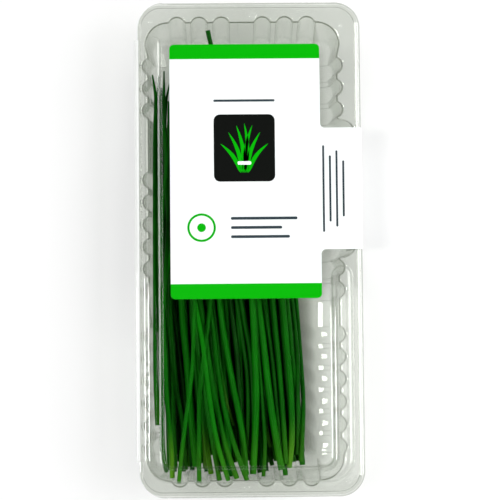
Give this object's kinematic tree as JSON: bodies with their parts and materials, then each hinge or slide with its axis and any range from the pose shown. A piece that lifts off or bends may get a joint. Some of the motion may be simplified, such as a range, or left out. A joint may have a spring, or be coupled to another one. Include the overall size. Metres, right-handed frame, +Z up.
{
  "type": "hinged clamshell pack of cut chives",
  "caption": "Clear hinged plastic clamshell lying flat, filled with a bunch of long cut chive leaves, with a green and white paper label sealing the lid.",
  "frame": {"origin": "middle of the closed pack's box, on the surface it rests on", "axes": "+X across the pack, from the hinge side to the opening side; +Y along the pack, from the cut ends of the leaves to their tips; +Z up"},
  "size_m": [0.0892, 0.194, 0.0275],
  "materials": {
    "clear_pet": "gloss",
    "label_paper": "satin",
    "chive_leaf": "satin"
  },
  "bodies": {
    "tray": {"base_tray": "clear_pet", "living_hinge": "clear_pet", "seal_tail": "label_paper", "chive_leaf_01": "chive_leaf", "chive_leaf_02": "chive_leaf", "chive_leaf_03": "chive_leaf", "chive_leaf_04": "chive_leaf", "chive_leaf_05": "chive_leaf", "chive_leaf_06": "chive_leaf", "chive_leaf_07": "chive_leaf", "chive_leaf_08": "chive_leaf", "chive_leaf_09": "chive_leaf", "chive_leaf_10": "chive_leaf", "chive_leaf_11": "chive_leaf", "chive_leaf_12": "chive_leaf", "chive_leaf_13": "chive_leaf", "chive_leaf_14": "chive_leaf", "chive_leaf_15": "chive_leaf", "chive_leaf_16": "chive_leaf", "chive_leaf_17": "chive_leaf", "chive_leaf_18": "chive_leaf", "chive_leaf_19": "chive_leaf", "chive_leaf_20": "chive_leaf", "chive_leaf_21": "chive_leaf", "chive_leaf_22": "chive_leaf", "chive_leaf_23": "chive_leaf", "chive_leaf_24": "chive_leaf", "chive_leaf_25": "chive_leaf", "chive_leaf_26": "chive_leaf", "chive_leaf_27": "chive_leaf", "chive_leaf_28": "chive_leaf", "chive_leaf_29": "chive_leaf", "chive_leaf_30": "chive_leaf", "chive_leaf_31": "chive_leaf", "chive_leaf_32": "chive_leaf", "chive_leaf_33": "chive_leaf", "chive_leaf_34": "chive_leaf", "chive_leaf_35": "chive_leaf", "chive_leaf_36": "chive_leaf", "chive_leaf_37": "chive_leaf", "chive_leaf_38": "chive_leaf", "chive_leaf_39": "chive_leaf", "chive_leaf_40": "chive_leaf", "chive_leaf_41": "chive_leaf", "chive_leaf_42": "chive_leaf", "chive_leaf_43": "chive_leaf", "chive_leaf_44": "chive_leaf", "chive_leaf_45": "chive_leaf", "chive_leaf_46": "chive_leaf", "chive_leaf_47": "chive_leaf", "chive_leaf_48": "chive_leaf", "chive_leaf_49": "chive_leaf", "chive_leaf_50": "chive_leaf"},
    "lid": {"lid": "clear_pet", "label": "label_paper"}
  },
  "joints": [
    {"name": "lid_hinge", "type": "hinge", "parent": "tray", "child": "lid", "pos_m": [-0.0439, 0, 0.024], "axis": [0, -1, 0], "range_deg": [0, 180], "deforming": ["living_hinge"]}
  ]
}
